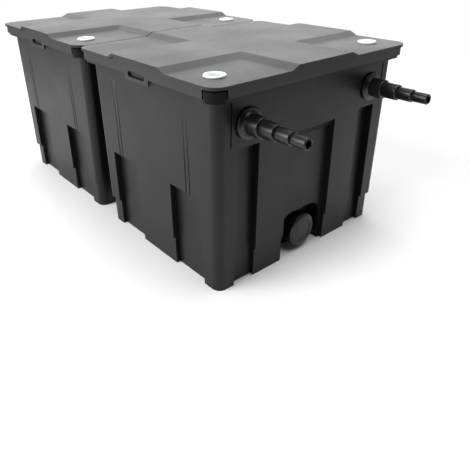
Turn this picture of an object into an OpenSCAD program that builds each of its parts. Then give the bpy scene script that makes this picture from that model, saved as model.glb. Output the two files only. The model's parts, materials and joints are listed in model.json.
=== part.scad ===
// Two-chamber flow-through pond filter box, in millimetres.
// Water enters the front chamber through two stepped hose tails, passes foam cartridges,
// crosses to the rear chamber through two pipes, and leaves through two outlets at the back.
// Origin: on the floor, midway between the two tubs. -Y is the inlet side, +Z is up.

/* [Overall] */
// Width of each lid, along X
lid_w = 590; // [540:1:640]
// Distance from one lid's centre to the next, along Y
pitch = 500; // [460:1:540]
// Seam between the two lids
seam = 3; // [2:0.5:6]
// Height of the lid's corner pads above the floor
pad_z = 452; // [430:1:480]

/* [Lid] */
// Radius of the lid's corners
lid_r = 32; // [28:1:40]
// Rise of the cross-shaped plateau above the corner pads
plateau_h = 9; // [5:1:12]
// Half width of the plateau's top, across X
arm_x = 82; // [70:1:100]
// Half width of the plateau's top, across Y
arm_y = 85; // [70:1:100]
// Width of the slope at the plateau's sides
slope = 20; // [12:1:26]
// Thickness of the lid's plate and skirt
lid_t = 4; // [3.5:0.5:5]
// Thickness of the bead along the lid's edge
bead_t = 6; // [5:0.5:7]
// How far the bead overhangs the skirt
overhang = 4; // [3:0.5:4.5]
// Height of the skirt's lower edge
skirt_z = 427; // [425:1:431]
// Width of the snap tab in the middle of each short side
tab_w = 88; // [70:1:100]
// Length of the window in the snap tab
window_w = 62; // [40:1:66]

/* [Tub] */
// Height of the shelf where the wall steps out to the rim
shelf_z = 420; // [415:1:424]
// Inset of the wall under the rim, from the lid's outline
inset_top = 24; // [20:1:28]
// Inset of the wall carried down to the floor
inset_low = 31; // [28:1:36]
// Extra inset of the base band
base_step = 5; // [3:1:6]
// Height of the base band
base_z = 68; // [50:1:90]
// Wall thickness
wall = 4; // [3.5:0.5:4.5]
// Radius of the tub's vertical corners
tub_r = 20; // [16:1:24]
// Height of the panels in the short faces
side_panel_z = 205; // [180:1:240]
// Height of the two outer panels in the long faces
outer_panel_z = 317; // [300:1:318]
// Height of the middle panel in the long faces
mid_panel_z = 311; // [300:1:318]
// Half width of the middle panel
mid_panel_x = 74; // [70:1:80]
// Half width of the drain niche
niche_x = 66; // [60:1:68]
// Height of the drain niche
niche_z = 107; // [98:1:112]

/* [Fittings] */
// Distance of inlets and outlets from the middle plane
port_x = 191; // [180:1:200]
// Height of the inlets
inlet_z = 364; // [360:1:370]
// Height of the outlets
outlet_z = 358; // [356:1:366]
// How far the hose tails reach from the origin, along Y
reach = 620; // [600:1:640]
// Radius of the widest step of an inlet's hose tail
hose_r = 20; // [20:0.5:20]
// Distance of the transfer pipes from the middle plane
transfer_x = 117; // [115:1:119]
// Height of the transfer pipes
transfer_z = 345; // [345:1:350]
// Outer radius of a transfer pipe
pipe_r = 25; // [22:1:25]
// Height of the drain
drain_z = 51; // [49:1:58]
// Outer radius of the drain cap
cap_r = 40; // [36:1:42]

/* [Indicators] */
// Distance of the indicators from the middle plane
dial_x = 233; // [225:1:240]
// Distance of the indicators from their lid's centre, towards the inlets
dial_y = 178; // [170:1:185]
// Outer radius of an indicator
dial_r = 22; // [20:0.5:24]

/* [Filter media] */
// Height of the grate that carries the media
grate_z = 118; // [116:1:124]
// Number of foam cartridges side by side
foams = 6; // [6:1:6]
// Height of a foam cartridge
foam_h = 192; // [150:1:196]

/* [Hidden] */
$fn = 64;
eps = 0.01;
hull_fn = 32;

// Colours
black = "#26272a";
grey = "#3b3c3f";
rubber = "#17181a";
white = "#e9eaec";
blue = "#2f5f9e";

// Lid and rim
lid_d = pitch - seam;
top_z = pad_z + plateau_h;
plate_z = pad_z - bead_t;
gap = 1;
rim_inset = overhang + lid_t + gap;
rest_h = 4;
rim_z = plate_z - rest_h;
rib_t = 3;
seal_in = 13.1;
seal_w = 4;
seal_drop = 5;
tab_low = 415;
window_z = 428;
window_h = 12;

// Corner latch: a flap in a notch of the skirt, pivoted under the bead
latch_leg = 32;
latch_gap = 4;
latch_low = 421;
pivot_r = 1.5;
pivot_run = 0.1;
pivot_off = 21;
pivot_z = rim_z + 2.1;
barrel_l = 12;
lug_l = 3;
link_w = barrel_l - 2 * lug_l - 1;

// Tub
floor_t = 4;
panel_deep_top = 43;
panel_deep_low = 46;
mid_slope_h = 19;
niche_inset = 80;
niche_r = 34;
niche_wall = 5;
boss_t = 6;
side_panel_y = [67, 168];
flute_low = 325;
flute_top = 412;
flute_in = 2;
outer_panel_x = [160, 216];

// Fittings: radii, and lengths measured outward from the seat
inlet_hole = 20.4;
inlet_flange = 32;
outlet_hole = 27.4;
outlet_flange = 38;
gasket_t = 2;
flange_t = 5;
fit = 0.4;
nut_t = 12;
nut_run = 0.05;
spigot_in = 22;
transfer_hole = pipe_r + 3;
transfer_seat = pipe_r + 11;
pipe_half = 62;
cap_front_inset = 35;
cap_depth = 26;
drain_hole = 22.4;
drain_thread = 25;

// Media
mat_h = 30;
basket_w = 222;
basket_d = 366;
basket_h = 150;
basket_x = 118;
ball_r = 20;
ring_r = 15;
clip_gap = 0.2;

// Inset of the outer wall at height z, from the lid's outline
function inset(z) = inset_top + (inset_low - inset_top) * (shelf_z - z) / shelf_z;
// Inset of a fitting's flat seat of radius r at height z
function seat(z, r) = inset(z - r) + 0.4;

module rounded(w, d, r) {
    square([w - 2 * r, d], center = true);
    square([w, d - 2 * r], center = true);
    for (x = [-1, 1], y = [-1, 1]) translate([x * (w / 2 - r), y * (d / 2 - r)]) circle(r);
}

// A slab whose edge lies 'off' inside the lid's outline
module slab(off, z0, z1, r = lid_r) {
    translate([0, 0, z0]) linear_extrude(z1 - z0)
        rounded(lid_w - 2 * off, lid_d - 2 * off, r);
}

// A tapered block with rounded corners, from inset a at z0 to inset b at z1
module tapered(a, z0, b, z1, r) {
    hull() {
        translate([0, 0, z0]) linear_extrude(eps)
            rounded(lid_w - 2 * a, pitch - 2 * a, r, $fn = hull_fn);
        translate([0, 0, z1 - eps]) linear_extrude(eps)
            rounded(lid_w - 2 * b, pitch - 2 * b, r, $fn = hull_fn);
    }
}

// Places children against a long face: x along the face, y = 0 at the lid's outline
// and growing outward, z up. side -1 is the inlet side, 1 the outlet side.
module at_face(side) {
    rotate([0, 0, side < 0 ? 180 : 0]) translate([0, pitch / 2, 0]) children();
}

// ---- Tub ----

// Recesses of all four faces, made larger by 'grow' to leave a wall behind them
module panels(grow) {
    low = -10;
    for (turn = [0, 180]) rotate([0, 0, turn]) {
        for (y = [-1, 1]) {
            mid = y * (side_panel_y[0] + side_panel_y[1]) / 2;
            len = side_panel_y[1] - side_panel_y[0] + 2 * grow;
            translate([lid_w / 2, mid + len / 2, 0]) rotate([90, 0, 0]) linear_extrude(len)
                polygon([[10, low], [10, side_panel_z + grow],
                    [-panel_deep_top - grow, side_panel_z + grow],
                    [-panel_deep_low - grow, low]]);
        }
        for (x = [-1, 1]) {
            mid = x * (outer_panel_x[0] + outer_panel_x[1]) / 2;
            len = outer_panel_x[1] - outer_panel_x[0] + 2 * grow;
            face_prism(mid, len, [[10, low], [10, outer_panel_z + grow],
                [-panel_deep_top - grow, outer_panel_z + grow], [-panel_deep_low - grow, low]]);
        }
        face_prism(0, 2 * mid_panel_x + 2 * grow, [[10, low],
            [10, mid_panel_z + grow + 18], [-28, mid_panel_z + grow],
            [-42 - grow, mid_panel_z - mid_slope_h + grow], [-panel_deep_low - grow, low]]);
        niche(grow > 0 ? niche_wall : 0);
    }
}

// A prism along X against the +Y face; its outline is given as [outward, up]
module face_prism(mid, len, outline) {
    translate([mid - len / 2, pitch / 2, 0]) rotate([90, 0, 90]) linear_extrude(len)
        polygon(outline);
}

module niche(grow) {
    w = niche_x + grow;
    h = niche_z + grow;
    translate([0, pitch / 2 + 10, 0]) rotate([90, 0, 0])
        linear_extrude(niche_inset + 10 + grow) {
            translate([-w, -10]) square([2 * w, h + 10 - niche_r]);
            translate([-w + niche_r, -10]) square([2 * (w - niche_r), h + 10]);
            for (x = [-1, 1]) translate([x * (w - niche_r), h - niche_r]) circle(niche_r);
        }
}

// Shallow upright lines moulded into the faces above the panels
module flutes() {
    for (turn = [0, 180]) rotate([0, 0, turn]) {
        for (y = [-1, 1], k = [-1, 1])
            translate([lid_w / 2, y * 131 + k * 6 + 1.5, 0]) rotate([90, 0, 0])
                linear_extrude(3) polygon([[10, side_panel_z - 5], [10, 390], [-inset(390), 390],
                    [-inset(side_panel_z) - 1.5, side_panel_z - 5]]);
        for (x = [-235, 235]) face_prism(x, 4, [[10, flute_low], [10, flute_top],
            [-inset(flute_top) - flute_in, flute_top], [-inset(flute_low) - flute_in, flute_low]]);
    }
}

// A flat round seat: cuts the outer face back and thickens the wall inside
module seat_cut(x, z, r) {
    translate([x, -seat(z, r), z]) rotate([-90, 0, 0]) cylinder(r = r, h = 40);
}
module seat_boss(x, z, r) {
    translate([x, -seat(z, r) - boss_t, z]) rotate([-90, 0, 0]) cylinder(r = r, h = boss_t);
}
module port_hole(x, z, r) {
    translate([x, -120, z]) rotate([-90, 0, 0]) cylinder(r = r, h = 140);
}

// ports: [side, x, z, seat radius, hole radius]
module tub(ports, drain_side) {
    color(grey) difference() {
        union() {
            difference() {
                union() {
                    tapered(inset(base_z), base_z, inset_top, shelf_z + eps, tub_r);
                    tapered(inset_low + base_step, 0, inset(base_z) + base_step, base_z + 1, tub_r);
                }
                panels(0);
                flutes();
                difference() {
                    tapered(inset_low + base_step + wall, floor_t, inset_top + wall, shelf_z + 1,
                        tub_r - wall);
                    panels(wall);
                }
                for (p = ports) at_face(p[0]) seat_cut(p[1], p[2], p[3]);
            }
            for (p = ports) at_face(p[0]) seat_boss(p[1], p[2], p[3]);
            rim();
        }
        for (p = ports) at_face(p[0]) port_hole(p[1], p[2], p[4]);
        at_face(drain_side) translate([0, -niche_inset - 20, drain_z]) rotate([-90, 0, 0])
            cylinder(r = drain_hole, h = 40);
    }
}

// Shelf and upstand that the lid sits on, with the catches behind the lid's windows
module rim() {
    difference() {
        slab(rim_inset, shelf_z, rim_z, lid_r - rim_inset);
        slab(rim_inset + wall, shelf_z + wall, rim_z + 1, lid_r - rim_inset - wall);
        slab(inset_top + wall, shelf_z - 1, rim_z + 1, tub_r - wall);
    }
    for (x = [-1, 1])
        translate([x * (lid_w / 2 - rim_inset), 0, window_z])
            cube([1.2, window_w - 16, window_h - 2], center = true);
}

// ---- Lid ----

// Everything below the lid's top surface, lowered by 'down'
module under_top(down) {
    big = lid_w;
    translate([0, 0, 400 - down]) {
        translate([-big, -big, 0]) cube([2 * big, 2 * big, pad_z - 400]);
        translate([0, big, pad_z - 400]) rotate([90, 0, 0]) linear_extrude(2 * big)
            arm(arm_x, down);
        translate([-big, 0, pad_z - 400]) rotate([90, 0, 90]) linear_extrude(2 * big)
            arm(arm_y, down);
    }
}
module arm(half, down) {
    side = down > 0 ? 2 : 0;
    foot = half + slope - side;
    top = half - side;
    polygon([[-foot, -10], [-foot, 0], [-top, plateau_h], [top, plateau_h], [foot, 0],
        [foot, -10]]);
}

module lid() {
    color(grey) difference() {
        union() {
            intersection() {
                slab(overhang, skirt_z, top_z + 1, lid_r - overhang);
                under_top(0);
            }
            difference() {
                intersection() {
                    slab(0, skirt_z, top_z + 1);
                    under_top(0);
                }
                under_top(bead_t);
            }
            for (x = [-1, 1])
                translate([x * (lid_w / 2 - overhang - lid_t / 2), 0, (tab_low + skirt_z) / 2 + 1])
                    cube([lid_t, tab_w, skirt_z - tab_low + 2], center = true);
        }
        difference() {
            intersection() {
                slab(overhang + lid_t, 400, top_z, lid_r - overhang - lid_t);
                under_top(bead_t);
            }
            latch_lugs();
            under_ribs();
        }
        for (x = [-1, 1]) translate([x * (lid_w / 2 - overhang), 0, window_z]) window();
        for (x = [-1, 1]) translate([x * dial_x, -dial_y, 0]) cylinder(r = dial_r - 4, h = 500);
        for (turn = [0, 180]) rotate([0, 0, turn]) latch_notch();
        latch_bores();
    }
}

module window() {
    rotate([0, 90, 0]) linear_extrude(lid_t * 4, center = true) {
        square([window_h, window_w - window_h], center = true);
        for (y = [-1, 1]) translate([0, y * (window_w - window_h) / 2]) circle(window_h / 2);
    }
}

// Moves children from a frame on the near corner's rounding, whose x axis points
// outward along the diagonal, to the corner itself
module at_corner() {
    translate([-lid_w / 2 + lid_r, -lid_d / 2 + lid_r, 0]) rotate([0, 0, 225]) children();
}

module latch_notch() {
    translate([-lid_w / 2 - 1, -lid_d / 2 - 1, skirt_z - 1])
        cube([latch_leg + latch_gap + 1, overhang + lid_t + 1.2, plate_z - skirt_z + 1]);
    translate([-lid_w / 2 - 1, -lid_d / 2 - 1, skirt_z - 1])
        cube([overhang + lid_t + 1.2, latch_leg + latch_gap + 1, plate_z - skirt_z + 1]);
    intersection() {
        difference() {
            slab(-1, skirt_z - 1, plate_z, lid_r + 1);
            slab(overhang + lid_t + 0.2, skirt_z - 2, plate_z + 1, lid_r - overhang - lid_t - 0.2);
        }
        translate([-lid_w / 2 - 2, -lid_d / 2 - 2, 0]) cube([lid_r + 2, lid_r + 2, 500]);
    }
}

module latch_lugs() {
    for (turn = [0, 180]) rotate([0, 0, turn]) at_corner() for (k = [-1, 1])
        translate([pivot_off - 2.1, k * (barrel_l / 2 - lug_l / 2) - lug_l / 2, rim_z + 0.2])
            cube([4.1, lug_l, plate_z + 1 - rim_z - 0.2]);
}
// Bars that rest on the tub's rim, and the rib that carries the seal
module under_ribs() {
    for (turn = [0, 180]) rotate([0, 0, turn]) {
        translate([-lid_w / 2 + 70, -lid_d / 2 + rim_inset + 0.3, rim_z])
            cube([lid_w - 140, rib_t, top_z - rim_z]);
        translate([-lid_w / 2 + rim_inset + 0.3, -lid_d / 2 + 70, rim_z])
            cube([rib_t, lid_d - 140, top_z - rim_z]);
    }
    off = seal_in + seal_w;
    difference() {
        slab(off, rim_z - seal_drop, top_z, lid_r - off);
        slab(off + rib_t, rim_z - seal_drop - 1, top_z + 1, lid_r - off - rib_t);
    }
}
module latch_bores() {
    for (turn = [0, 180]) rotate([0, 0, turn]) at_corner()
        translate([pivot_off, 0, pivot_z]) rotate([90, 0, 0])
            cylinder(r = pivot_r + pivot_run, h = barrel_l + 1, center = true);
}

// The flap: a piece of the skirt's own rounding with its two legs, on a pivot barrel
module latch() {
    color(black) {
        difference() {
            intersection() {
                slab(overhang, latch_low, plate_z - latch_gap, lid_r - overhang);
                translate([-lid_w / 2, -lid_d / 2, 0]) cube([latch_leg, latch_leg, 500]);
            }
            slab(overhang + lid_t, latch_low - 1, 500, lid_r - overhang - lid_t);
        }
        at_corner() {
            translate([pivot_off, 0, pivot_z]) rotate([90, 0, 0])
                cylinder(r = pivot_r, h = barrel_l, center = true);
            translate([pivot_off, link_w / 2, pivot_z]) rotate([90, 0, 0]) linear_extrude(link_w)
                polygon([[0, -1.4], [4.4, -1.6], [6, -6], [8, -6], [8, -2.6], [5.4, -0.3],
                    [1.4, 0.3], [0, 0.6]]);
        }
    }
}

module lid_seal() {
    color(rubber) difference() {
        slab(seal_in, rim_z - seal_drop, plate_z, lid_r - seal_in);
        slab(seal_in + seal_w, rim_z - seal_drop - 1, plate_z + 1, lid_r - seal_in - seal_w);
    }
}

// ---- Fittings: each is drawn along +Y from its seat, then placed on a face ----

module ring(r_out, r_in, y0, y1) {
    translate([0, y0, 0]) rotate([-90, 0, 0]) difference() {
        cylinder(r = r_out, h = y1 - y0);
        translate([0, 0, -1]) cylinder(r = r_in, h = y1 - y0 + 2);
    }
}

// steps: radii of the hose steps, widest first
module hose_tail(steps, flange_r, spigot_r, bore_r, seat_inset) {
    total = reach - pitch + seat_inset;
    root = gasket_t + flange_t;
    len = (total - root) / len(steps);
    color(black) difference() {
        union() {
            translate([0, gasket_t, 0]) rotate([-90, 0, 0]) cylinder(r = flange_r, h = flange_t);
            translate([0, -spigot_in, 0]) rotate([-90, 0, 0])
                cylinder(r = spigot_r, h = spigot_in + gasket_t + 1);
            for (k = [0:len(steps) - 1]) translate([0, root + k * len - (k == 0 ? 1 : 0), 0])
                rotate([-90, 0, 0]) cylinder(r = steps[k], h = len + (k == 0 ? 1 : 0));
        }
        translate([0, -spigot_in - 1, 0]) rotate([-90, 0, 0]) cylinder(r = bore_r, h = total + 40);
        translate([0, -spigot_in - 1, 0]) rotate([-90, 0, 0])
            cylinder(r = spigot_r - 4, h = spigot_in + root);
    }
}

module lock_nut(r, spigot_r, thick) {
    color(black) translate([0, -thick - nut_t, 0]) rotate([-90, 0, 0]) difference() {
        cylinder(r = r, h = nut_t, $fn = 6);
        translate([0, 0, -1]) cylinder(r = spigot_r + nut_run, h = nut_t + 2);
    }
}

// Puts children on a seat of a chamber's long face
module on_seat(chamber, x, z, r) {
    translate([0, chamber * pitch / 2, 0]) at_face(chamber)
        translate([chamber < 0 ? -x : x, -seat(z, r), z]) children();
}
module on_inlet(x) { on_seat(-1, x, inlet_z, inlet_flange + 2) children(); }
module on_outlet(x) { on_seat(1, x, outlet_z, outlet_flange + 2) children(); }

module inlet_tail(x) {
    on_inlet(x) hose_tail([hose_r, 16, 12.5, 10], inlet_flange, inlet_hole - fit, 7.5,
        seat(inlet_z, inlet_flange + 2));
}
module inlet_gasket(x) {
    color(rubber) on_inlet(x) ring(inlet_flange - 3, inlet_hole, 0, gasket_t);
}
module inlet_nut(x) { on_inlet(x) lock_nut(28, inlet_hole - fit, boss_t); }

module outlet_tail(x) {
    on_outlet(x) hose_tail([25, 20], outlet_flange, outlet_hole - fit, 17,
        seat(outlet_z, outlet_flange + 2));
}
module outlet_gasket(x) {
    color(rubber) on_outlet(x) ring(outlet_flange - 3, outlet_hole, 0, gasket_t);
}
module outlet_nut(x) { on_outlet(x) lock_nut(36, outlet_hole - fit, boss_t); }

module transfer_pipe(x) {
    color(black) translate([x, 0, transfer_z]) ring(pipe_r, pipe_r - 2.5, -pipe_half, pipe_half);
}
// Lipped rubber seals in the walls, one in each tub
module transfer_seals(x) {
    lip = 3;
    face = seat(transfer_z, transfer_seat);
    color(rubber) for (s = [-1, 1]) translate([x, 0, transfer_z]) rotate([0, 0, s < 0 ? 180 : 0]) {
        ring(transfer_hole, pipe_r, face - lip, face + boss_t + lip);
        ring(transfer_hole + 5, transfer_hole - 1, face - lip, face);
        ring(transfer_hole + 5, transfer_hole - 1, face + boss_t, face + boss_t + lip);
    }
}

module on_drain(chamber) {
    translate([0, chamber * pitch / 2, 0]) at_face(chamber)
        translate([0, -niche_inset, drain_z]) children();
}
module drain_spigot(chamber) {
    long = niche_inset - cap_front_inset - 6;
    color(black) on_drain(chamber) difference() {
        union() {
            translate([0, gasket_t, 0]) rotate([-90, 0, 0]) cylinder(r = 32, h = flange_t);
            translate([0, -spigot_in, 0]) rotate([-90, 0, 0])
                cylinder(r = drain_hole - fit, h = spigot_in + gasket_t + 1);
            translate([0, gasket_t + 1, 0]) rotate([-90, 0, 0])
                cylinder(r = drain_thread, h = long - gasket_t - 1);
        }
        translate([0, -spigot_in - 1, 0]) rotate([-90, 0, 0]) cylinder(r = 18, h = 100);
    }
}
module drain_gasket(chamber) {
    color(rubber) on_drain(chamber) ring(30, drain_hole, 0, gasket_t);
}
module drain_nut(chamber) { on_drain(chamber) lock_nut(30, drain_hole - fit, niche_wall); }
module drain_cap(chamber) {
    front = niche_inset - cap_front_inset;
    bevel = 4;
    color(black) on_drain(chamber) rotate([-90, 0, 0]) rotate_extrude()
        polygon([[0, front], [cap_r - bevel, front], [cap_r, front - bevel],
            [cap_r, front - cap_depth], [drain_thread + 0.3, front - cap_depth],
            [drain_thread + 0.3, front - 5.7], [0, front - 5.7]]);
}

// ---- Indicators in the lids ----

module on_dial(chamber, x) {
    translate([x, chamber * pitch / 2 - dial_y, pad_z]) children();
}
// Cup through the lid with a rolled bezel on top and a post for the pointer
module housing() {
    cup = dial_r - 4.2;
    color(white) {
        rotate_extrude() polygon([[0, -16], [cup, -16], [cup, 0], [dial_r, 0], [dial_r, 2],
            [dial_r - 2, 4], [dial_r - 4, 4], [cup - 2, 1], [cup - 2, -13], [0, -13]]);
        translate([0, 0, -14]) cylinder(r = 1.5, h = 10);
    }
}
module pointer_hub(r, h) {
    translate([0, 0, -6]) difference() {
        cylinder(r = r, h = h);
        translate([0, 0, -1]) cylinder(r = 1.55, h = h + 2);
    }
}
module thermo_needle() {
    color("#c8342a") {
        pointer_hub(3, 2.2);
        translate([1.9, -0.7, -5.4]) cube([11, 1.4, 0.8]);
        translate([-6.5, -1, -5.4]) cube([4.6, 2, 0.8]);
    }
}
// Half of the disc is cut away, so that it covers one half of the dial below it
module flow_disc() {
    color("#2c9a4b") {
        pointer_hub(3, 2.2);
        translate([0, 0, -5.6]) intersection() {
            difference() {
                cylinder(r = 13.5, h = 1);
                translate([0, 0, -1]) cylinder(r = 2, h = 3);
            }
            translate([-20, 0, -1]) cube([40, 20, 3]);
        }
    }
}
module lens() {
    color("#f4f6f8") rotate_extrude() polygon([[0, 7], [9, 6.2], [15, 4.4], [dial_r - 4, 4],
        [dial_r - 6.3, 1.2], [dial_r - 8, 1.2], [13, 3.4], [8, 4.8], [0, 5.4]]);
}

// ---- Inside ----

module grate() {
    w = 476;
    d = 388;
    t = 8;
    bars = 11;
    step = (w - 16) / bars;
    color(black) {
        difference() {
            translate([-w / 2, -d / 2, grate_z]) cube([w, d, t]);
            for (k = [0:bars - 1], y = [-1, 1])
                translate([-w / 2 + 8 + (k + 0.5) * step, y * (d / 4 - 2), grate_z + t / 2])
                    cube([step - 8, d / 2 - 24, t + 2], center = true);
        }
        for (x = [-200, -80, 80, 200], y = [-140, 140])
            translate([x, y, floor_t]) cylinder(r = 10, h = grate_z - floor_t - clip_gap);
    }
}
media_z = grate_z + 8;

module foam(k) {
    w = 468 / foams;
    color(k % 2 == 1 ? blue : "#3f6fb0")
        translate([-234 + (k - 1) * w + 2, -pitch / 2 - 186, media_z])
            cube([w - 4, 372, foam_h]);
}
module filter_mat() {
    color("#3d7a55") translate([-232, pitch / 2 - 186, media_z]) cube([464, 372, mat_h]);
}
// Open basket of five slotted panels that clip together
module basket(x) {
    t = 3;
    side_z = t + clip_gap;
    side_h = basket_h - side_z;
    end_w = basket_w - 2 * (t + clip_gap);
    slot_h = basket_h - 40;
    color(black) translate([x, pitch / 2, media_z + mat_h]) {
        difference() {
            translate([-basket_w / 2, -basket_d / 2, 0]) cube([basket_w, basket_d, t]);
            for (k = [-2:2], y = [-1, 1]) translate([k * 40, y * 86, 0])
                cube([18, 150, 3 * t], center = true);
        }
        for (side = [-1, 1]) {
            difference() {
                translate([side * (basket_w - t) / 2 - t / 2, -basket_d / 2, side_z])
                    cube([t, basket_d, side_h]);
                for (k = [-3:3]) translate([side * basket_w / 2, k * 48, basket_h / 2])
                    cube([4 * t, 30, slot_h], center = true);
            }
            difference() {
                translate([-end_w / 2, side * (basket_d - t) / 2 - t / 2, side_z])
                    cube([end_w, t, side_h]);
                for (k = [-2:2]) translate([k * 40, side * basket_d / 2, basket_h / 2])
                    cube([26, 4 * t, slot_h], center = true);
            }
        }
    }
}
module bio_balls() {
    z0 = media_z + mat_h + 3 + ball_r;
    color("#202225") for (i = [-2:2], j = [-4:3], k = [0, 1])
        translate([-basket_x + i * 42, pitch / 2 + (j + 0.5) * 43, z0 + k * 2 * ball_r + k])
            sphere(r = ball_r);
}
module ceramic_rings() {
    z0 = media_z + mat_h + 3.2;
    color("#cfc4b2") for (i = [-3:2], j = [-5:4], k = [0, 1])
        translate([basket_x + (i + 0.5) * 34, pitch / 2 + (j + 0.5) * 34, z0 + k * 31])
            difference() {
                cylinder(r = ring_r, h = 30);
                translate([0, 0, -1]) cylinder(r = ring_r - 6, h = 32);
            }
}

// ---- Assembly ----

transfer_ports = [for (x = [-1, 1]) [x * transfer_x, transfer_z, transfer_seat, transfer_hole]];
inlet_ports = [for (x = [-1, 1]) [x * port_x, inlet_z, inlet_flange + 2, inlet_hole]];
outlet_ports = [for (x = [-1, 1]) [x * port_x, outlet_z, outlet_flange + 2, outlet_hole]];
function on_side(side, ports) = [for (p = ports) [side, p[0], p[1], p[2], p[3]]];

module front() { translate([0, -pitch / 2, 0]) children(); }
module rear() { translate([0, pitch / 2, 0]) children(); }
module far_corner() { rotate([0, 0, 180]) children(); }

front() tub(concat(on_side(-1, inlet_ports), on_side(1, transfer_ports)), -1);  // front_tub
rear() tub(concat(on_side(1, outlet_ports), on_side(-1, transfer_ports)), 1);  // rear_tub
front() lid();  // front_lid
rear() lid();  // rear_lid
front() lid_seal();  // front_lid_seal
rear() lid_seal();  // rear_lid_seal
front() latch();  // front_latch_near
front() far_corner() latch();  // front_latch_far
rear() latch();  // rear_latch_near
rear() far_corner() latch();  // rear_latch_far
inlet_tail(-port_x);  // inlet_tail_left
inlet_tail(port_x);  // inlet_tail_right
inlet_gasket(-port_x);  // inlet_gasket_left
inlet_gasket(port_x);  // inlet_gasket_right
inlet_nut(-port_x);  // inlet_nut_left
inlet_nut(port_x);  // inlet_nut_right
outlet_tail(-port_x);  // outlet_tail_left
outlet_tail(port_x);  // outlet_tail_right
outlet_gasket(-port_x);  // outlet_gasket_left
outlet_gasket(port_x);  // outlet_gasket_right
outlet_nut(-port_x);  // outlet_nut_left
outlet_nut(port_x);  // outlet_nut_right
transfer_pipe(-transfer_x);  // transfer_pipe_left
transfer_pipe(transfer_x);  // transfer_pipe_right
transfer_seals(-transfer_x);  // transfer_seals_left
transfer_seals(transfer_x);  // transfer_seals_right
drain_spigot(-1);  // front_drain_spigot
drain_gasket(-1);  // front_drain_gasket
drain_nut(-1);  // front_drain_nut
drain_cap(-1);  // front_drain_cap
drain_spigot(1);  // rear_drain_spigot
drain_gasket(1);  // rear_drain_gasket
drain_nut(1);  // rear_drain_nut
drain_cap(1);  // rear_drain_cap
on_dial(-1, -dial_x) housing();  // front_flow_housing
on_dial(-1, -dial_x) flow_disc();  // front_flow_disc
on_dial(-1, -dial_x) lens();  // front_flow_lens
on_dial(-1, dial_x) housing();  // front_thermo_housing
on_dial(-1, dial_x) thermo_needle();  // front_thermo_needle
on_dial(-1, dial_x) lens();  // front_thermo_lens
on_dial(1, -dial_x) housing();  // rear_flow_housing
on_dial(1, -dial_x) flow_disc();  // rear_flow_disc
on_dial(1, -dial_x) lens();  // rear_flow_lens
on_dial(1, dial_x) housing();  // rear_thermo_housing
on_dial(1, dial_x) thermo_needle();  // rear_thermo_needle
on_dial(1, dial_x) lens();  // rear_thermo_lens
front() grate();  // front_grate
rear() grate();  // rear_grate
foam(1);  // foam_1
foam(2);  // foam_2
foam(3);  // foam_3
foam(4);  // foam_4
foam(5);  // foam_5
foam(6);  // foam_6
basket(-basket_x);  // bio_ball_basket
bio_balls();
basket(basket_x);  // ceramic_basket
ceramic_rings();
filter_mat();
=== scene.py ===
"""A two-chamber flow-through pond filter box: moulded tubs and lids, hose tails, drains and media.

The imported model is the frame. The big mouldings are its own shapes with softened edges, and the
turned fittings, the indicators and the media are made here in the places that the frame gives.
"""
import json
import math

import bmesh
import bpy
from mathutils import Matrix, Vector, noise


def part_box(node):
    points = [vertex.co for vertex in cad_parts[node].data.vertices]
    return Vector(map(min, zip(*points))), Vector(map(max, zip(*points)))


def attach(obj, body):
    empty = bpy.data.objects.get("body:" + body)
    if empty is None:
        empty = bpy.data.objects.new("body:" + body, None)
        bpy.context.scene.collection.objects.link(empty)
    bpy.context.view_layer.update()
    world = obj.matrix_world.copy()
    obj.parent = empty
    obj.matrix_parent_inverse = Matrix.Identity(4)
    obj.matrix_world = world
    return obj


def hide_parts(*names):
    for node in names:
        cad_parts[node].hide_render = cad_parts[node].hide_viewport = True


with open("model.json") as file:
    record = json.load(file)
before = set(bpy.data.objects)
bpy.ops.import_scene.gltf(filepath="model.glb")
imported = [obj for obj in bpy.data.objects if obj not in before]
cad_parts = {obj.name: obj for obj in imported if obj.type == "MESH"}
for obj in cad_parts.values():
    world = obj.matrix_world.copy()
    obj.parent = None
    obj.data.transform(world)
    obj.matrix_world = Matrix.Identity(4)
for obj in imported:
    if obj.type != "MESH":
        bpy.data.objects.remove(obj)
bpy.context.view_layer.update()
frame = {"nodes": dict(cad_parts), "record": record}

MM = 0.001
FULL = 2 * math.pi


# ---------------------------------------------------------------- helpers

def linear(code):
    """An sRGB hex colour as the linear RGBA that shaders take."""
    parts = [int(code[i:i + 2], 16) / 255 for i in (1, 3, 5)]
    return [p / 12.92 if p <= 0.04045 else ((p + 0.055) / 1.055) ** 2.4 for p in parts] + [1.0]


def add(tree, kind, links=None, **settings):
    """Adds a node. links holds its inputs, as sockets to join or as values, by name or by place."""
    node = tree.nodes.new(kind)
    for name, value in settings.items():
        setattr(node, name, value)
    for name, value in (links or {}).items():
        if isinstance(value, bpy.types.NodeSocket):
            tree.links.new(value, node.inputs[name])
        else:
            node.inputs[name].default_value = value
    return node


def body_of(node):
    bodies = frame["record"]["behaviour"]["bodies"]
    return next(name for name, nodes in bodies.items() if node in nodes)


def finished(data, name, mat, node, smooth=35, stands_for=True):
    """Makes the mesh a piece that rides with a CAD node's body and stands for that node."""
    piece = bpy.data.objects.new(name, data)
    bpy.context.scene.collection.objects.link(piece)
    data.materials.clear()
    data.materials.append(mat)
    if smooth is not None:
        data.shade_smooth()
        data.set_sharp_from_angle(angle=math.radians(smooth))
    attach(piece, body_of(node))
    if stands_for:
        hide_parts(node)
    return piece


def mesh_of(bm, name):
    data = bpy.data.meshes.new(name)
    bm.normal_update()
    bm.to_mesh(data)
    bm.free()
    return data


def evaluated(piece):
    """The piece's mesh with its modifiers applied."""
    graph = bpy.context.evaluated_depsgraph_get()
    return bpy.data.meshes.new_from_object(piece.evaluated_get(graph))


# ---------------------------------------------------------------- materials

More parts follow.
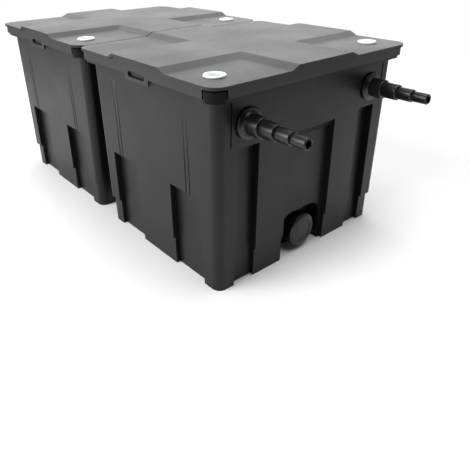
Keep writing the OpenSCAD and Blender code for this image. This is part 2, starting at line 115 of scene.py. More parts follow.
def material(name, **shader):
    """A material with one Principled shader, whose steady values are set on its own sockets."""
    mat = bpy.data.materials.new(name)
    mat.use_nodes = True
    tree = mat.node_tree
    tree.nodes.clear()
    words = {key.replace("_", " "): value for key, value in shader.items()}
    bsdf = add(tree, "ShaderNodeBsdfPrincipled", words)
    add(tree, "ShaderNodeOutputMaterial", {"Surface": bsdf.outputs["BSDF"]})
    return mat, tree, bsdf


def moulded(name, dark, light, rough, ior=1.49, grain_mm=2.5, depth_mm=0.12, spread=0.05,
            swell_mm=0.35, mirror=0.5):
    """Moulded plastic or rubber: eroded grain, slow changes of shade and gloss, faint sink marks.

    The pits of a deep grain swallow part of the mirror light, which a lower 'mirror' stands for.
    A real eroded grain is about 0.2 mm. It is drawn coarser here, so that it shows.
    """
    mat, tree, bsdf = material(name, IOR=ior, Specular_IOR_Level=mirror)
    where = add(tree, "ShaderNodeTexCoord").outputs["Object"]
    grain = add(tree, "ShaderNodeTexNoise",
                {"Vector": where, "Scale": 1 / (grain_mm * MM), "Detail": 3.0, "Roughness": 0.6})
    slow = add(tree, "ShaderNodeTexNoise", {"Vector": where, "Scale": 7.0, "Detail": 3.0})
    scuff = add(tree, "ShaderNodeTexNoise",
                {"Vector": where, "Scale": 60.0, "Detail": 5.0, "Roughness": 0.7})
    blend = add(tree, "ShaderNodeMath", {0: slow.outputs["Fac"], 1: 0.65}, operation="MULTIPLY")
    blend = add(tree, "ShaderNodeMath", {0: scuff.outputs["Fac"], 1: 0.35, 2: blend.outputs[0]},
                operation="MULTIPLY_ADD")
    shade = add(tree, "ShaderNodeMapRange",
                {"Value": blend.outputs[0], "From Min": 0.35, "From Max": 0.65})
    tint = add(tree, "ShaderNodeMix",
               {0: shade.outputs["Result"], 6: linear(dark), 7: linear(light)}, data_type="RGBA")
    tree.links.new(tint.outputs[2], bsdf.inputs["Base Color"])
    gloss = add(tree, "ShaderNodeMapRange",
                {"Value": blend.outputs[0], "From Min": 0.35, "From Max": 0.65,
                 "To Min": rough - spread, "To Max": rough + spread})
    tree.links.new(gloss.outputs["Result"], bsdf.inputs["Roughness"])
    sink = add(tree, "ShaderNodeBump", {"Height": slow.outputs["Fac"], "Distance": swell_mm * MM,
                                       "Strength": 0.5})
    pits = add(tree, "ShaderNodeBump", {"Height": grain.outputs["Fac"], "Distance": depth_mm * MM,
                                       "Strength": 0.6, "Normal": sink.outputs["Normal"]})
    tree.links.new(pits.outputs["Normal"], bsdf.inputs["Normal"])
    return mat


# Polypropylene with a spark-eroded grain: nearly black, satin, paler where light grazes it
TUB = moulded("polypropylene_tub_moulded", "#0f0f10", "#161618", 0.42, mirror=0.3)
# The same plastic on the lids, given a paler colour than the tub's: painted light for their brighter
# lit tops
LID = moulded("polypropylene_lid_painted_paler", "#1b1c1d", "#252627", 0.42, mirror=0.42)
# Polypropylene for the small flaps: the same plastic painted darker than the tub, as painted shade
LATCH = moulded("polypropylene_latch_painted_shade", "#09090a", "#0e0e0f", 0.45, mirror=0.15)
# ABS turned out of a polished mould: deep black with sharper lights
ABS = moulded("abs_fitting_moulded", "#0a0a0b", "#101011", 0.33, grain_mm=1.5, depth_mm=0.01,
              swell_mm=0.02, mirror=0.5, spread=0.02)
# Polypropylene for baskets and grates: satin black
BASKET = moulded("polypropylene_basket_moulded", "#121314", "#1c1d1f", 0.42)
# EPDM rubber: dull black, no sharp lights
RUBBER = moulded("epdm_rubber_moulded", "#0d0d0e", "#151515", 0.7, ior=1.5, depth_mm=0.2)
# White ABS shell of the indicators: bright, glossy
SHELL = moulded("abs_white_moulded", "#e3e5e6", "#f0f1f2", 0.24, ior=1.54, depth_mm=0.02,
                swell_mm=0.05)
# Red and green ABS for the needle and the flow disc: glossy, pure colour
RED = moulded("abs_red_moulded", "#b3201b", "#c42a22", 0.3, ior=1.54, depth_mm=0.02)
GREEN = moulded("abs_green_moulded", "#20823a", "#2c9a4b", 0.3, ior=1.54, depth_mm=0.02)
# Printing ink on the dials: flat, dull, sharp edged
INK = moulded("screen_ink_printed", "#222326", "#2c2d30", 0.6, depth_mm=0.02)
# Polyethylene bio balls: waxy dark grey
BALL = moulded("polyethylene_ball_moulded", "#1f2226", "#2b2f34", 0.36, ior=1.51)


def clear_lens():
    """Polycarbonate window: clear, glossy, with hair-fine wiping marks that only soften its gloss."""
    mat, tree, bsdf = material("polycarbonate_lens_moulded", IOR=1.585, Alpha=0.2,
                               Base_Color=linear("#f7fafb"), Specular_IOR_Level=1.0)
    where = add(tree, "ShaderNodeTexCoord").outputs["Object"]
    wiped = add(tree, "ShaderNodeTexNoise", {"Vector": where, "Scale": 350.0, "Detail": 4.0})
    gloss = add(tree, "ShaderNodeMapRange",
                {"Value": wiped.outputs["Fac"], "To Min": 0.02, "To Max": 0.12})
    tree.links.new(gloss.outputs["Result"], bsdf.inputs["Roughness"])
    return mat


def open_cell(name, cell_shade, strand, cell_mm, depth_mm):
    """Reticulated foam or bonded fibre: paler strands, with the open cells between them painted dark
    as painted shade, dull all over.
    """
    mat, tree, bsdf = material(name, IOR=1.45, Roughness=0.9, Sheen_Weight=0.25,
                               Sheen_Roughness=0.6)
    where = add(tree, "ShaderNodeTexCoord").outputs["Object"]
    cells = add(tree, "ShaderNodeTexVoronoi",
                {"Vector": where, "Scale": 1 / (cell_mm * MM), "Randomness": 1.0},
                feature="DISTANCE_TO_EDGE")
    walls = add(tree, "ShaderNodeMapRange",
                {"Value": cells.outputs["Distance"], "From Max": 0.28, "To Min": 1.0, "To Max": 0.0})
    patch = add(tree, "ShaderNodeTexNoise", {"Vector": where, "Scale": 18.0, "Detail": 3.0})
    mixed = add(tree, "ShaderNodeMath", {0: walls.outputs["Result"], 1: patch.outputs["Fac"]},
                operation="MULTIPLY")
    # The cells between the strands are painted dark: painted shade in the open cells
    tint = add(tree, "ShaderNodeMix",
               {0: mixed.outputs[0], 6: linear(cell_shade), 7: linear(strand)}, data_type="RGBA")
    tree.links.new(tint.outputs[2], bsdf.inputs["Base Color"])
    relief = add(tree, "ShaderNodeBump", {"Height": walls.outputs["Result"],
                                         "Distance": depth_mm * MM, "Strength": 1.0})
    tree.links.new(relief.outputs["Normal"], bsdf.inputs["Normal"])
    return mat


def sintered():
    """Sintered clay rings: chalky, with small changes of firing colour, and darker specks at the
    pores that are painted shade.
    """
    mat, tree, bsdf = material("ceramic_ring_sintered", IOR=1.5, Roughness=0.85)
    where = add(tree, "ShaderNodeTexCoord").outputs["Object"]
    pores = add(tree, "ShaderNodeTexNoise",
                {"Vector": where, "Scale": 700.0, "Detail": 4.0, "Roughness": 0.7})
    batch = add(tree, "ShaderNodeTexNoise", {"Vector": where, "Scale": 24.0, "Detail": 2.0})
    tint = add(tree, "ShaderNodeMix",
               {0: batch.outputs["Fac"], 6: linear("#b7a68c"), 7: linear("#ddd3c2")},
               data_type="RGBA")
    # The pores are painted darker: painted shade in the pits that the bump below also cuts
    pore_shade = add(tree, "ShaderNodeMapRange",
                {"Value": pores.outputs["Fac"], "From Min": 0.3, "From Max": 0.5})
    tint = add(tree, "ShaderNodeMix",
               {0: pore_shade.outputs["Result"], 6: linear("#7d705e"), 7: tint.outputs[2]},
               data_type="RGBA")
    tree.links.new(tint.outputs[2], bsdf.inputs["Base Color"])
    relief = add(tree, "ShaderNodeBump", {"Height": pores.outputs["Fac"], "Distance": 0.4 * MM,
                                         "Strength": 0.8})
    tree.links.new(relief.outputs["Normal"], bsdf.inputs["Normal"])
    return mat


LENS = clear_lens()
# Polyurethane filter foam, cut from a block: blue strands round cells painted dark as painted shade.
# Real cells are 2 mm
FOAM = open_cell("polyurethane_foam_cut", "#10263f", "#4f86c6", 3.0, 1.6)
# Bonded polyester mat: coarse green fibres, with painted shade between them
MAT = open_cell("polyester_mat_bonded", "#12271b", "#5c9a72", 2.2, 1.2)
CERAMIC = sintered()


# ---------------------------------------------------------------- shapes

# How the CAD shapes are cleaned before their edges are rounded
MERGE_MM = 0.004
FLAT_DEG = 0.6
SHARP_DEG = 28
FACE_WEIGHT = 60


def moulding(node, name, mat, edge_mm, segments=3):
    """A CAD shape as the mould leaves it: the same faces, with every sharp edge rounded off."""
    data = frame["nodes"][node].data.copy()
    for spare in ("custom_normal", "sharp_face", "sharp_edge"):
        if spare in data.attributes:
            data.attributes.remove(data.attributes[spare])
    bm = bmesh.new()
    bm.from_mesh(data)
    bmesh.ops.remove_doubles(bm, verts=bm.verts, dist=MERGE_MM * MM)
    bmesh.ops.dissolve_limit(bm, angle_limit=math.radians(FLAT_DEG), verts=bm.verts,
                             edges=bm.edges)
    bm.to_mesh(data)
    bm.free()
    rough = bpy.data.objects.new(name + "_blank", data)
    bpy.context.scene.collection.objects.link(rough)
    bevel = rough.modifiers.new("edge", "BEVEL")
    bevel.width = edge_mm * MM
    bevel.segments = segments
    bevel.limit_method = "ANGLE"
    bevel.angle_limit = math.radians(SHARP_DEG)
    bevel.use_clamp_overlap = True
    data.shade_smooth()
    flat = rough.modifiers.new("flat", "WEIGHTED_NORMAL")
    flat.keep_sharp = False
    flat.weight = FACE_WEIGHT
    made = evaluated(rough)
    bpy.data.objects.remove(rough)
    finished(made, name, mat, node, smooth=None)


def softened(outline, radius, steps=3):
    """A profile with its corners rounded. A point may carry its own radius as a third value."""
    count = len(outline)
    soft = []
    for k, point in enumerate(outline):
        r = point[2] if len(point) > 2 else radius
        here = Vector(point[:2])
        before, after = Vector(outline[k - 1][:2]), Vector(outline[(k + 1) % count][:2])
        if r <= 0 or here.x < 1e-6:
            soft.append(here)
            continue
        back, on = before - here, after - here
        start = here + back.normalized() * min(r, back.length * 0.45)
        end = here + on.normalized() * min(r, on.length * 0.45)
        for i in range(steps + 1):
            t = i / steps
            soft.append(start * (1 - t) ** 2 + here * 2 * t * (1 - t) + end * t * t)
    return soft


def lathe(profile, turns=96, ripple=None):
    """A body turned round Z from a closed profile of (radius, height) in millimetres."""
    bm = bmesh.new()
    rings = []
    for r, z in profile:
        if r < 1e-6:
            rings.append([bm.verts.new((0, 0, z * MM))])
            continue
        ring = []
        for k in range(turns):
            phi = FULL * k / turns
            across = ripple(r, z, phi) if ripple else r
            ring.append(bm.verts.new((across * MM * math.cos(phi), across * MM * math.sin(phi),
                                      z * MM)))
        rings.append(ring)
    for k, low in enumerate(rings):
        high = rings[(k + 1) % len(rings)]
        if len(low) == 1 and len(high) == 1:
            continue
        for i in range(turns):
            j = (i + 1) % turns
            corners = [low[i % len(low)], low[j % len(low)], high[j % len(high)],
                       high[i % len(high)]]
            corners = [v for n, v in enumerate(corners) if v not in corners[:n]]
            bm.faces.new(corners)
    bmesh.ops.recalc_face_normals(bm, faces=bm.faces)
    return bm


def turned(profile, name, mat, node, centre, side, turns=96, ripple=None, smooth=35):
    """A lathed piece with its axis along Y, pointing out of the side that it is on."""
    bm = lathe(profile, turns, ripple)
    bm.transform(Matrix.Translation(centre) @ Matrix.Rotation(-side * math.pi / 2, 4, "X"))
    finished(mesh_of(bm, name), name, mat, node, smooth)


def upright(profile, name, mat, node, centre, turns=72, smooth=35, stands_for=True):
    """A lathed piece that stands on the Z axis."""
    bm = lathe(profile, turns)
    bm.transform(Matrix.Translation(centre))
    finished(mesh_of(bm, name), name, mat, node, smooth, stands_for)


def seat_of(node, side):
    """The middle of a ring's inner face, where its fitting sits on the wall."""
    low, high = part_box(node)
    middle = (low + high) / 2
    return Vector((middle.x, low.y if side > 0 else high.y, middle.z))


def thread_from(start, end, pitch, depth):
    """A ripple that cuts a screw thread between two heights."""
    def ripple(r, z, phi):
        if not start <= z <= end:
            return r
        turn = (z / pitch - phi / FULL) % 1.0
        return r - depth * min(1.0, 2.6 * abs(turn - 0.5))
    return ripple


# ---------------------------------------------------------------- tubs and lids

for chamber in ("front", "rear"):
    moulding(chamber + "_tub", chamber + "_tub_shell", TUB, 1.3)
    moulding(chamber + "_lid", chamber + "_lid_shell", LID, 1.8)
    moulding(chamber + "_lid_seal", chamber + "_lid_gasket", RUBBER, 0.8)
    for corner in ("near", "far"):
        node = f"{chamber}_latch_{corner}"
        moulding(node, node + "_flap", LATCH, 0.7)
    moulding(chamber + "_grate", chamber + "_grate_plate", BASKET, 0.9, segments=2)


# ---------------------------------------------------------------- hose tails

GASKET = 2.0
FLANGE = 5.0
SPIGOT_IN = 22.0
THREAD_PITCH = 3.0
# How far a step stands proud of its hose size. The frame's own steps and the mounts keep that size
BARB = 1.4
# Wall of the threaded shank, and how far the groove at a step's root is cut
SHANK_WALL = 4.0
GROOVE = 0.8


def hose_tail(node, gasket, side, steps, flange_r, spigot_r, bore_r):
    """A stepped tail: each step is a little proud of its hose size, with a groove at its root."""
    low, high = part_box(node)
    seat = seat_of(gasket, side)
    total = (high.y - seat.y if side > 0 else seat.y - low.y) / MM
    root = GASKET + FLANGE
    step = (total - root) / len(steps)
    outline = [(spigot_r - SHANK_WALL, -SPIGOT_IN, 0.8), (spigot_r, -SPIGOT_IN, 1.0)]
    fine = int((SPIGOT_IN - 2) / (THREAD_PITCH / 6))
    outline += [(spigot_r, -SPIGOT_IN + 1 + (SPIGOT_IN - 2) * k / fine, 0) for k in range(fine + 1)]
    outline += [(spigot_r, GASKET, 0), (flange_r, GASKET, 1.2), (flange_r, root - 0.5, 1.8),
                (flange_r - 3, root, 0.8), (steps[0] + 5, root + 0.5, 0.8),
                (steps[0] + 3, root + 3.5, 1.2)]
    for k, r in enumerate(steps):
        start, end = root + k * step, root + (k + 1) * step
        if k:
            outline += [(r - GROOVE, start, 0.3), (r - GROOVE, start + 1.5, 0.3)]
        outline += [(r + BARB, start + 4.0, 1.0), (r + BARB, end - 1.5, 1.2), (r - 0.6, end, 0.4)]
    outline += [(bore_r + 0.8, total, 0.5), (bore_r, total - 1.2, 0.4), (bore_r, root, 0.6),
                (spigot_r - SHANK_WALL, root - 3, 0.6)]
    ripple = thread_from(-SPIGOT_IN + 1.5, -1.0, THREAD_PITCH, 0.9)
    outer = spigot_r - 0.5

    def cut(r, z, phi):
        return ripple(r, z, phi) if r > outer and z < 0 else r
    turned(softened(outline, 0.5), node + "_turned", ABS, node, seat, side, ripple=cut)
    moulding(gasket, gasket + "_ring", RUBBER, 0.5, segments=2)
    nut = node.replace("tail", "nut")
    moulding(nut, nut + "_hex", ABS, 1.0)


for hand in ("left", "right"):
    hose_tail("inlet_tail_" + hand, "inlet_gasket_" + hand, -1, (20, 16, 12.5, 10), 32, 20.0, 7.5)
    hose_tail("outlet_tail_" + hand, "outlet_gasket_" + hand, 1, (25, 20), 38, 27.0, 17.0)
    moulding("transfer_pipe_" + hand, "transfer_pipe_tube_" + hand, ABS, 0.7, segments=2)
    moulding("transfer_seals_" + hand, "transfer_lip_rings_" + hand, RUBBER, 0.6, segments=2)


# ---------------------------------------------------------------- drains

CAP_R = (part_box("front_drain_cap")[1].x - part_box("front_drain_cap")[0].x) / 2 / MM
CAP_FRONT = 45.0
CAP_DEPTH = 26.0
SPIGOT_OUT = 39.0
DRAIN_THREAD = 25.0
# Radii of the drain's way through, its shank and its flange
DRAIN_BORE = 18
DRAIN_SHANK = 22
DRAIN_FLANGE = 32
# Grip ribs round the cap, and how deep the furrows between them are
CAP_RIBS = 36
RIB_DEPTH = 0.9


def drain(chamber, side):
    """A flanged spigot through the niche wall, closed by a ribbed screw cap."""
    seat = seat_of(chamber + "_drain_gasket", side)
    fine = 36
    outline = [(DRAIN_BORE, -SPIGOT_IN, 0.8), (DRAIN_SHANK, -SPIGOT_IN, 0.8),
               (DRAIN_SHANK, GASKET, 0), (DRAIN_FLANGE, GASKET, 1.0),
               (DRAIN_FLANGE, GASKET + FLANGE, 1.2), (DRAIN_THREAD, GASKET + FLANGE, 0.5)]
    start, end = GASKET + FLANGE + 1, SPIGOT_OUT - 1.5
    outline += [(DRAIN_THREAD, start + (end - start) * k / fine, 0) for k in range(fine + 1)]
    outline += [(DRAIN_THREAD, SPIGOT_OUT, 0.8), (DRAIN_BORE, SPIGOT_OUT, 0.8)]
    ripple = thread_from(start + 1, end, 4.0, 1.1)

    def cut(r, z, phi):
        return ripple(r, z, phi) if r > DRAIN_THREAD - 0.5 else r
    turned(softened(outline, 0.5), chamber + "_drain_spigot_turned", ABS,
           chamber + "_drain_spigot", seat, side, ripple=cut)

    inner = DRAIN_THREAD + 0.3
    back = CAP_FRONT - CAP_DEPTH
    face = [(0, CAP_FRONT - 1.0, 0), (12, CAP_FRONT - 1.0, 2.0), (23.5, CAP_FRONT - 0.9, 0.4),
            (24.2, CAP_FRONT - 1.7, 0.3), (25.4, CAP_FRONT - 1.7, 0.3), (26.2, CAP_FRONT - 0.2, 0.6),
            (32.5, CAP_FRONT, 1.5), (CAP_R - 0.4, CAP_FRONT - 3.4, 3.0)]
    rim = [(CAP_R, CAP_FRONT - 5.0 - (CAP_DEPTH - 8.0) * k / 4, 0) for k in range(5)]
    rest = [(CAP_R, back, 1.0), (inner, back, 0.8), (inner, CAP_FRONT - 5.7, 0.8),
            (0, CAP_FRONT - 5.7, 0)]

    def ribbed(r, z, phi):
        if r < CAP_R - 0.2 or not back + 2 < z < CAP_FRONT - 4:
            return r
        return r - RIB_DEPTH * (0.5 + 0.5 * math.cos(CAP_RIBS * phi)) ** 3
    turned(softened(face + rim + rest, 0.5), chamber + "_drain_cap_turned", ABS,
           chamber + "_drain_cap", seat, side, turns=216, ripple=ribbed, smooth=40)
    moulding(chamber + "_drain_gasket", chamber + "_drain_gasket_ring", RUBBER, 0.5, segments=2)
    moulding(chamber + "_drain_nut", chamber + "_drain_nut_hex", ABS, 1.0)


drain("front", -1)
drain("rear", 1)


# ---------------------------------------------------------------- indicators

DIAL_R = 22.0
CUP_R = DIAL_R - 4.2
DIAL_Z = -7.6


def wedge(bm, r_in, r_out, start, end, low, high, steps=24):
    """A flat sector of a ring, from one angle to another, in millimetres and radians."""
    layers = []
    for z in (low, high):
        layers.append([[bm.verts.new((r * MM * math.cos(a), r * MM * math.sin(a), z * MM))
                        for r in (r_in, r_out)]
                       for a in (start + (end - start) * k / steps for k in range(steps + 1))])
    below, above = layers
    for k in range(steps):
        for one, other in ((below[k], below[k + 1]), (above[k], above[k + 1])):
            bm.faces.new((one[0], one[1], other[1], other[0]))
        for i in (0, 1):
            bm.faces.new((below[k][i], below[k + 1][i], above[k + 1][i], above[k][i]))
    for k in (0, steps):
        bm.faces.new((below[k][0], below[k][1], above[k][1], above[k][0]))
    bmesh.ops.recalc_face_normals(bm, faces=bm.faces)


def sector(name, mat, node, centre, *spans):
    """Printed or laid-in sectors on a dial, as one piece. Each span is radii, angles and heights."""
    bm = bmesh.new()
    for span in spans:
        wedge(bm, *span)
    bm.transform(Matrix.Translation(centre))
    finished(mesh_of(bm, name), name, mat, node, 30, stands_for=False)


def indicator(chamber, kind):
    """A round window in the lid: rolled white bezel, printed dial, centre post and domed lens."""
    shell = f"{chamber}_{kind}_housing"
    low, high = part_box(shell)
    centre = Vector(((low.x + high.x) / 2, (low.y + high.y) / 2, high.z - 4 * MM))
    bezel = [(0, -16, 0), (CUP_R, -16, 1.2), (CUP_R, -0.2, 0.2), (DIAL_R, 0, 0.5),
             (DIAL_R, 1.8, 1.6), (DIAL_R - 2.2, 4, 1.6), (DIAL_R - 4, 3.9, 0.6),
             (CUP_R - 2, 1, 0.6), (CUP_R - 2, -13, 0.6), (0, -13, 0)]
    upright(softened(bezel, 0.5), shell + "_bezel", SHELL, shell, centre)
    post = [(0, -13.5, 0), (1.5, -13.5, 0), (1.5, -4.2, 0.3), (0, -4.0, 0)]
    upright(softened(post, 0.2), shell + "_post", SHELL, shell, centre, 24, stands_for=False)
    plate = [(2.2, DIAL_Z - 1.0, 0.2), (CUP_R - 2.1, DIAL_Z - 1.0, 0.2),
             (CUP_R - 2.1, DIAL_Z, 0.3), (2.2, DIAL_Z, 0.2)]
    upright(softened(plate, 0.2), shell + "_dial", SHELL, shell, centre, stands_for=False)
    ink = (DIAL_Z - 0.2, DIAL_Z + 0.15)
    if kind == "thermo":
        ticks = []
        for k in range(27):
            a = math.radians(220 - 10 * k)
            r_in = 10.2 if k % 5 == 0 else 11.8
            half = 0.035 if k % 5 == 0 else 0.018
            ticks.append((r_in, 14.2, a - half, a + half, *ink, 1))
        sector(shell + "_ticks", INK, shell, centre, *ticks)
        sector(shell + "_warm_arc", RED, shell, centre,
               (14.6, 15.4, math.radians(-40), math.radians(20), *ink, 16))
    else:
        sector(shell + "_stop_field", RED, shell, centre,
               (9.5, 15.0, math.radians(232), math.radians(308), *ink, 20))
        sector(shell + "_rings", INK, shell, centre, (15.3, 15.7, 0, FULL * 0.999, *ink, 64))
    window = [(0, 6.9, 0), (6, 6.6, 2), (12, 5.6, 2), (16, 4.4, 1), (DIAL_R - 4.1, 4.0, 0.4),
              (DIAL_R - 6.2, 1.3, 0.3), (DIAL_R - 8, 1.3, 0.3), (12.5, 3.6, 1), (7, 4.9, 1),
              (0, 5.4, 0)]
    upright(softened(window, 0.5), f"{chamber}_{kind}_window", LENS, f"{chamber}_{kind}_lens",
            centre, smooth=50)


for chamber in ("front", "rear"):
    indicator(chamber, "flow")
    indicator(chamber, "thermo")
    moulding(chamber + "_thermo_needle", chamber + "_thermo_pointer", RED, 0.15, segments=2)
    moulding(chamber + "_flow_disc", chamber + "_flow_shutter", GREEN, 0.15, segments=2)


# ---------------------------------------------------------------- media

def block(node, name, mat, cell_mm, round_mm, rough_mm, seed):
    """A cut block of foam or fibre: faceted by the knife, with soft corners and a torn surface."""
    low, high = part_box(node)
    size = high - low
    counts = [max(2, round(size[i] / (cell_mm * MM))) for i in range(3)]
    bm = bmesh.new()
    known = {}

    def corner(index):
        if index not in known:
            known[index] = bm.verts.new([low[i] + size[i] * index[i] / counts[i]
                                         for i in range(3)])
        return known[index]
    for axis in range(3):
        u, v = (axis + 1) % 3, (axis + 2) % 3
        for end in (0, counts[axis]):
            for i in range(counts[u]):
                for j in range(counts[v]):
                    quad = []
                    for di, dj in ((0, 0), (1, 0), (1, 1), (0, 1)):
                        index = [0, 0, 0]
                        index[axis], index[u], index[v] = end, i + di, j + dj
                        quad.append(corner(tuple(index)))
                    bm.faces.new(quad)
    r = round_mm * MM
    for vert in bm.verts:
        core = Vector([min(max(vert.co[i], low[i] + r), high[i] - r) for i in range(3)])
        out = vert.co - core
        if out.length > r:
            vert.co = core + out.normalized() * r
        out = (vert.co - core).normalized()
        torn = noise.fractal(vert.co * 120 + Vector((seed, 0, 0)), 1.0, 2.0, 3)
        vert.co -= out * rough_mm * MM * (0.6 + 0.5 * max(-1.0, min(1.0, torn)))
    bmesh.ops.recalc_face_normals(bm, faces=bm.faces)
    piece = finished(mesh_of(bm, name), name, mat, node, 60)


for k in range(1, 7):
    block(f"foam_{k}", f"foam_cartridge_{k}", FOAM, 7.0, 4.0, 0.9, 13 * k)
block("filter_mat", "fibre_mat", MAT, 8.0, 7.0, 2.2, 91)
moulding("bio_ball_basket", "bio_ball_basket_panels", BASKET, 0.5, segments=2)
moulding("ceramic_basket", "ceramic_basket_panels", BASKET, 0.5, segments=2)


def middles(node):
    """The middle of each separate solid in a CAD node."""
    bm = bmesh.new()
    bm.from_mesh(frame["nodes"][node].data)
    bmesh.ops.remove_doubles(bm, verts=bm.verts, dist=0.01 * MM)
    seen, found = set(), []
    for vert in bm.verts:
        if vert.index in seen:
            continue
        stack, members = [vert], []
        seen.add(vert.index)
        while stack:
            here = stack.pop()
            members.append(here.co.copy())
            for edge in here.link_edges:
                other = edge.other_vert(here)
                if other.index not in seen:
                    seen.add(other.index)
                    stack.append(other)
        found.append([(min(c[i] for c in members) + max(c[i] for c in members)) / 2
                      for i in range(3)])
    bm.free()
    return [Vector(p) for p in found]


def filling(node, name, unit, mat, tumble, seed):
    """Geometry Nodes put one unit on each place in the basket and turn it by chance."""
    tree = bpy.data.node_groups.new(name + "_filling", "GeometryNodeTree")
    face = tree.interface
    face.new_socket("Geometry", in_out="INPUT", socket_type="NodeSocketGeometry")
    face.new_socket("Geometry", in_out="OUTPUT", socket_type="NodeSocketGeometry")
    sockets = {
        "Unit": face.new_socket("Unit", in_out="INPUT", socket_type="NodeSocketObject"),
        "Finish": face.new_socket("Finish", in_out="INPUT", socket_type="NodeSocketMaterial"),
        "Tumble": face.new_socket("Tumble", in_out="INPUT", socket_type="NodeSocketVector"),
        "Seed": face.new_socket("Seed", in_out="INPUT", socket_type="NodeSocketInt"),
    }
    given = add(tree, "NodeGroupInput")
    whole = add(tree, "GeometryNodeObjectInfo", {"Object": given.outputs["Unit"]})
    least = add(tree, "ShaderNodeVectorMath", {0: given.outputs["Tumble"], "Scale": -1.0},
                operation="SCALE")
    turn = add(tree, "FunctionNodeRandomValue",
               {0: least.outputs[0], 1: given.outputs["Tumble"], "Seed": given.outputs["Seed"]},
               data_type="FLOAT_VECTOR")
    points = add(tree, "GeometryNodeMeshToPoints", {"Mesh": given.outputs["Geometry"]})
    laid = add(tree, "GeometryNodeInstanceOnPoints",
               {"Points": points.outputs["Points"], "Instance": whole.outputs["Geometry"],
                "Rotation": turn.outputs[0]})
    real = add(tree, "GeometryNodeRealizeInstances", {"Geometry": laid.outputs["Instances"]})
    done = add(tree, "GeometryNodeSetMaterial", {"Geometry": real.outputs["Geometry"],
                                                "Material": given.outputs["Finish"]})
    add(tree, "NodeGroupOutput", {"Geometry": done.outputs["Geometry"]})

    places = bpy.data.meshes.new(name + "_places")
    places.from_pydata(middles(node), [], [])
    holder = bpy.data.objects.new(name + "_places", places)
    bpy.context.scene.collection.objects.link(holder)
    modifier = holder.modifiers.new("filling", "NODES")
    modifier.node_group = tree
    for key, value in (("Unit", unit), ("Finish", mat), ("Tumble", tumble), ("Seed", seed)):
        modifier[sockets[key].identifier] = value
    made = evaluated(holder)
    bpy.data.objects.remove(holder)
    bpy.data.objects.remove(unit)
    return finished(made, name, mat, node, 40)


def bio_ball():
    """A cage ball: crossed round fins on a hub, with a belt round the middle."""
    bm = bmesh.new()
    r = 19.2
    round_all = FULL * 0.9999
    wedge(bm, 2.0, r, 0, round_all, -0.9, 0.9, 20)
    for side in (-1, 1):
        wedge(bm, 2.0, r * 0.84, 0, round_all, side * 10.0 - 0.7, side * 10.0 + 0.7, 16)
    for k in range(4):
        fin = bmesh.new()
        wedge(fin, 1.0, r - 0.2, 0, round_all, -0.7, 0.7, 20)
        fin.transform(Matrix.Rotation(math.pi * k / 4, 4, "Z")
                      @ Matrix.Rotation(math.pi / 2, 4, "X"))
        spare = mesh_of(fin, "fin")
        bm.from_mesh(spare)
        bpy.data.meshes.remove(spare)
    return unit_object(bm, "bio_ball_unit")


def ceramic_ring():
    """A thick short tube with softened ends."""
    outline = [(9.0, -14.6, 0.8), (14.6, -14.6, 0.8), (14.6, 14.6, 0.8), (9.0, 14.6, 0.8)]
    return unit_object(lathe(softened(outline, 0.8, 1), 14), "ceramic_ring_unit")


def unit_object(bm, name):
    unit = bpy.data.objects.new(name, mesh_of(bm, name))
    bpy.context.scene.collection.objects.link(unit)
    return unit


filling("bio_balls", "bio_balls_cage", bio_ball(), BALL, (math.pi, math.pi, math.pi), 5)
filling("ceramic_rings", "ceramic_rings_fired", ceramic_ring(), CERAMIC, (0.07, 0.07, math.pi), 8)


# ---------------------------------------------------------------- floor, light and camera

# The sheet's radius, where it starts to thin out and where it has gone, in metres
FLOOR_R = 3.6
FADE_FROM = 1.3
FADE_TO = 3.3
# The way to the room's bright side, and the light at its dark and bright ends
BRIGHT_SIDE = (0.6, 0.8, 0.0)
ROOM_DARK = 0.03
ROOM_BRIGHT = 0.52


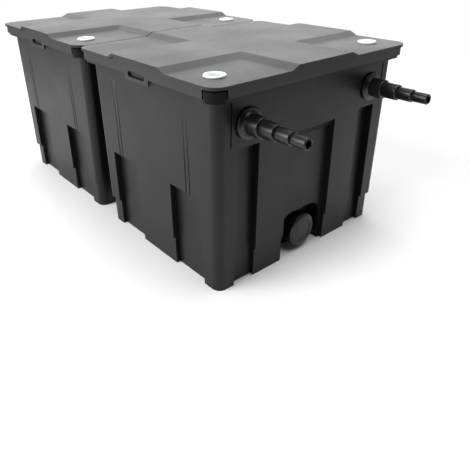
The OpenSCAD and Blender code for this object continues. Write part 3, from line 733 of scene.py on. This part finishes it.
def studio():
    """A pale floor under soft boxes: one at the left, a broad one behind at the right, one above."""
    bm = bmesh.new()
    bmesh.ops.create_circle(bm, cap_ends=True, segments=96, radius=FLOOR_R)
    bm.transform(Matrix.Translation((0, 0, -0.3 * MM)))
    floor = bpy.data.objects.new("floor", mesh_of(bm, "floor"))
    bpy.context.scene.collection.objects.link(floor)
    # Matt white paper sweep: even, with no gloss
    mat, tree, bsdf = material("paper_floor_matt", Roughness=0.95, Specular_IOR_Level=0.1)
    where = add(tree, "ShaderNodeTexCoord").outputs["Object"]
    fibre = add(tree, "ShaderNodeTexNoise", {"Vector": where, "Scale": 3.0, "Detail": 2.0})
    tint = add(tree, "ShaderNodeMix",
               {0: fibre.outputs["Fac"], 6: linear("#f4f4f5"), 7: linear("#f8f8f9")},
               data_type="RGBA")
    tree.links.new(tint.outputs[2], bsdf.inputs["Base Color"])
    # The sheet thins out towards its rim, so no edge shows against the white room
    out = add(tree, "ShaderNodeVectorMath", {0: where}, operation="LENGTH")
    fade = add(tree, "ShaderNodeMapRange", {"Value": out.outputs["Value"], "From Min": FADE_FROM,
                                           "From Max": FADE_TO, "To Min": 1.0, "To Max": 0.0},
               interpolation_type="SMOOTHSTEP")
    tree.links.new(fade.outputs["Result"], bsdf.inputs["Alpha"])
    floor.data.materials.append(mat)

    world = bpy.data.worlds.new("studio")
    world.use_nodes = True
    world.node_tree.nodes.clear()
    # The room is dark in front at the left and bright behind at the right
    tree = world.node_tree
    ahead = add(tree, "ShaderNodeTexCoord").outputs["Generated"]
    facing = add(tree, "ShaderNodeVectorMath", {0: ahead, 1: BRIGHT_SIDE},
                 operation="DOT_PRODUCT")
    level = add(tree, "ShaderNodeMapRange", {"Value": facing.outputs["Value"], "From Min": -0.8,
                                            "From Max": 0.6, "To Min": ROOM_DARK,
                                            "To Max": ROOM_BRIGHT})
    # Seen directly it is plain white, so that the floor runs on into it
    seen = add(tree, "ShaderNodeLightPath").outputs["Is Camera Ray"]
    strength = add(tree, "ShaderNodeMix", {0: seen, 2: level.outputs["Result"], 3: 1.0})
    glow = add(tree, "ShaderNodeBackground", {"Color": linear("#ffffff"),
                                             "Strength": strength.outputs[0]})
    add(tree, "ShaderNodeOutputWorld", {"Surface": glow.outputs["Background"]})
    bpy.context.scene.world = world

    def soft_box(name, azimuth, elevation, distance, width, height, radiance):
        data = bpy.data.lights.new(name, "AREA")
        data.shape = "RECTANGLE"
        data.size, data.size_y = width, height
        data.energy = radiance * math.pi * width * height
        lamp = bpy.data.objects.new(name, data)
        a, e = math.radians(azimuth), math.radians(elevation)
        lamp.location = (distance * math.sin(a) * math.cos(e), -distance * math.cos(a) * math.cos(e),
                         distance * math.sin(e))
        lamp.rotation_euler = (-lamp.location).to_track_quat("-Z", "Y").to_euler()
        bpy.context.scene.collection.objects.link(lamp)
    soft_box("box_left", -100, 30, 4.5, 3.5, 3.0, 6.9)
    soft_box("box_back", 142, 27, 5.0, 5.5, 3.2, 1.6)
    soft_box("box_top", 30, 80, 4.5, 3.6, 3.6, 3.6)
    bpy.context.scene.view_settings.view_transform = "Standard"


# Where the eye stands in metres, how it is turned, tilted and rolled in degrees, and its lens
EYE = (-0.81094, -1.12089, 0.67977)
TURN_TILT_ROLL = (-39.587, 24.152, -0.749)
LENS_MM = 38.82
SHIFT = (0.0454, -0.149)


def camera():
    """The eye: in front at the left and above, looking down on the box."""
    azimuth, elevation, roll = (math.radians(a) for a in TURN_TILT_ROLL)
    back = Vector((math.sin(azimuth) * math.cos(elevation),
                   -math.cos(azimuth) * math.cos(elevation), math.sin(elevation)))
    right = (-back).cross(Vector((0, 0, 1))).normalized()
    up = right.cross(-back)
    across = right * math.cos(roll) + up * math.sin(roll)
    upward = up * math.cos(roll) - right * math.sin(roll)
    data = bpy.data.cameras.new("camera")
    data.sensor_width = 36
    data.lens = LENS_MM
    data.shift_x, data.shift_y = SHIFT
    data.clip_start = 0.02
    eye = bpy.data.objects.new("camera", data)
    bpy.context.scene.collection.objects.link(eye)
    eye.matrix_world = (Matrix.Translation(EYE)
                        @ Matrix((across, upward, back)).transposed().to_4x4())
    bpy.context.scene.camera = eye


studio()
camera()
